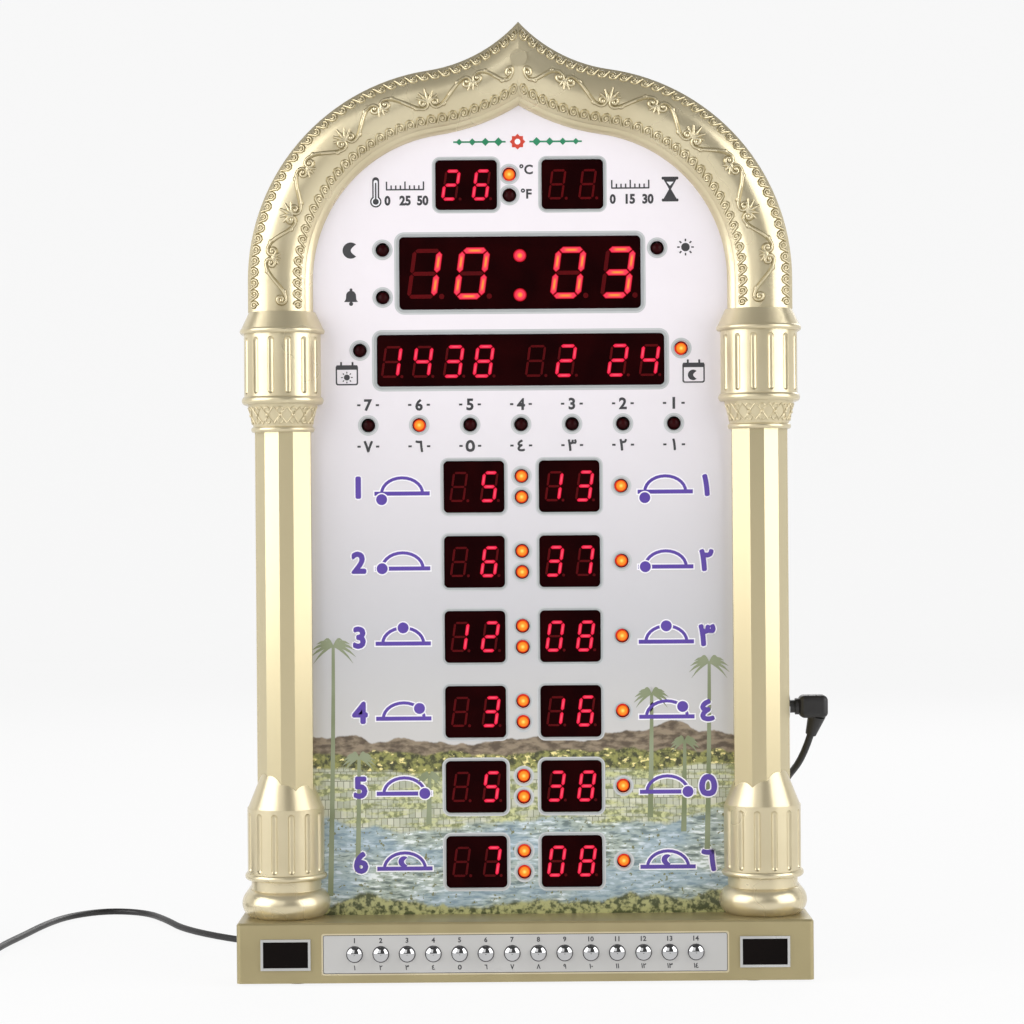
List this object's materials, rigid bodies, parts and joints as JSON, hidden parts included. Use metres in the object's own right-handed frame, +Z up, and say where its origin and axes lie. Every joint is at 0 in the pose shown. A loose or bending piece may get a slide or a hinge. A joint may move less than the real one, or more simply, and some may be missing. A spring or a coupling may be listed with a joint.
{
  "type": "azan clock",
  "caption": "Azan clock: a gold keel-arch frame on columns and a plinth, with LED displays, push buttons and a low-voltage lead.",
  "frame": {"origin": "middle of the clock's footprint on the surface that its feet stand on, without the lead", "axes": "+Z up, the face looks along -Y, +X to the right of the face as it is seen"},
  "size_m": [0.4277, 0.2052, 0.4],
  "materials": {
    "gold_moulding": "satin gold metallic lacquer",
    "gold_shaft": "gold anodised, satin",
    "gold_plinth": "satin gold lacquer",
    "rear_plastic": "fine matt grain",
    "face_print": "glossy printed sheet",
    "display_red": "dark red filter over LED segments",
    "lamp_resin": "clear water-white resin",
    "button_chrome": "polished",
    "plate_silver": "silver lacquer",
    "window_dark": "infrared filter",
    "bezel_silver": "silver lacquer",
    "board_green": "solder resist",
    "black_plastic": "moulded",
    "bright_steel": "zinc plated",
    "standoff_brass": "turned",
    "cable_grey": "ribbed",
    "foot_rubber": "matt",
    "basket_steel": "black",
    "cone_paper": "pressed fibre",
    "magnet_ferrite": "ground",
    "socket_metal": "nickel plated",
    "cord_black": "smooth sheath",
    "adapter_black": "spark texture",
    "pin_brass": "nickel plated"
  },
  "bodies": {
    "clock": {"arch_frame": "gold_moulding", "left_capital": "gold_moulding", "right_capital": "gold_moulding", "left_column_shaft": "gold_shaft", "right_column_shaft": "gold_shaft", "left_column_base": "gold_moulding", "right_column_base": "gold_moulding", "plinth_housing": "gold_plinth", "plinth_bottom": "rear_plastic", "rear_cover": "rear_plastic", "face_panel": "face_print", "temperature_display": "display_red", "iqamah_display": "display_red", "time_display": "display_red", "date_display": "display_red", "hour_displays": "display_red", "minute_displays": "display_red", "status_leds": "lamp_resin", "weekday_leds": "lamp_resin", "colon_leds": "lamp_resin", "prayer_leds": "lamp_resin", "main_board": "board_green", "board_standoffs": "standoff_brass", "board_screws": "bright_steel", "button_board": "board_green", "tact_switches": "black_plastic", "button_plate": "plate_silver", "remote_windows": "window_dark", "window_bezels": "bezel_silver", "ir_receiver": "black_plastic", "speaker_basket": "basket_steel", "speaker_cone": "cone_paper", "speaker_magnet": "magnet_ferrite", "dc_jack": "socket_metal", "rear_screws": "bright_steel", "plinth_screws": "bright_steel", "rubber_feet": "foot_rubber", "coin_cell": "bright_steel", "driver_chips": "black_plastic", "ribbon_cable": "cable_grey", "dc_plug": "cord_black", "power_cord": "cord_black", "power_cord_coil": "cord_black", "cord_tie": "black_plastic", "power_adapter": "adapter_black", "adapter_pins": "pin_brass"},
    "key_01": {"button_01": "button_chrome"},
    "key_02": {"button_02": "button_chrome"},
    "key_03": {"button_03": "button_chrome"},
    "key_04": {"button_04": "button_chrome"},
    "key_05": {"button_05": "button_chrome"},
    "key_06": {"button_06": "button_chrome"},
    "key_07": {"button_07": "button_chrome"},
    "key_08": {"button_08": "button_chrome"},
    "key_09": {"button_09": "button_chrome"},
    "key_10": {"button_10": "button_chrome"},
    "key_11": {"button_11": "button_chrome"},
    "key_12": {"button_12": "button_chrome"},
    "key_13": {"button_13": "button_chrome"},
    "key_14": {"button_14": "button_chrome"}
  },
  "joints": [
    {"name": "press_01", "type": "slide", "parent": "clock", "child": "key_01", "axis": [0, 1, 0], "range_m": [0, 0.0006], "stiffness_N_per_m": 150},
    {"name": "press_02", "type": "slide", "parent": "clock", "child": "key_02", "axis": [0, 1, 0], "range_m": [0, 0.0006], "stiffness_N_per_m": 150},
    {"name": "press_03", "type": "slide", "parent": "clock", "child": "key_03", "axis": [0, 1, 0], "range_m": [0, 0.0006], "stiffness_N_per_m": 150},
    {"name": "press_04", "type": "slide", "parent": "clock", "child": "key_04", "axis": [0, 1, 0], "range_m": [0, 0.0006], "stiffness_N_per_m": 150},
    {"name": "press_05", "type": "slide", "parent": "clock", "child": "key_05", "axis": [0, 1, 0], "range_m": [0, 0.0006], "stiffness_N_per_m": 150},
    {"name": "press_06", "type": "slide", "parent": "clock", "child": "key_06", "axis": [0, 1, 0], "range_m": [0, 0.0006], "stiffness_N_per_m": 150},
    {"name": "press_07", "type": "slide", "parent": "clock", "child": "key_07", "axis": [0, 1, 0], "range_m": [0, 0.0006], "stiffness_N_per_m": 150},
    {"name": "press_08", "type": "slide", "parent": "clock", "child": "key_08", "axis": [0, 1, 0], "range_m": [0, 0.0006], "stiffness_N_per_m": 150},
    {"name": "press_09", "type": "slide", "parent": "clock", "child": "key_09", "axis": [0, 1, 0], "range_m": [0, 0.0006], "stiffness_N_per_m": 150},
    {"name": "press_10", "type": "slide", "parent": "clock", "child": "key_10", "axis": [0, 1, 0], "range_m": [0, 0.0006], "stiffness_N_per_m": 150},
    {"name": "press_11", "type": "slide", "parent": "clock", "child": "key_11", "axis": [0, 1, 0], "range_m": [0, 0.0006], "stiffness_N_per_m": 150},
    {"name": "press_12", "type": "slide", "parent": "clock", "child": "key_12", "axis": [0, 1, 0], "range_m": [0, 0.0006], "stiffness_N_per_m": 150},
    {"name": "press_13", "type": "slide", "parent": "clock", "child": "key_13", "axis": [0, 1, 0], "range_m": [0, 0.0006], "stiffness_N_per_m": 150},
    {"name": "press_14", "type": "slide", "parent": "clock", "child": "key_14", "axis": [0, 1, 0], "range_m": [0, 0.0006], "stiffness_N_per_m": 150}
  ]
}
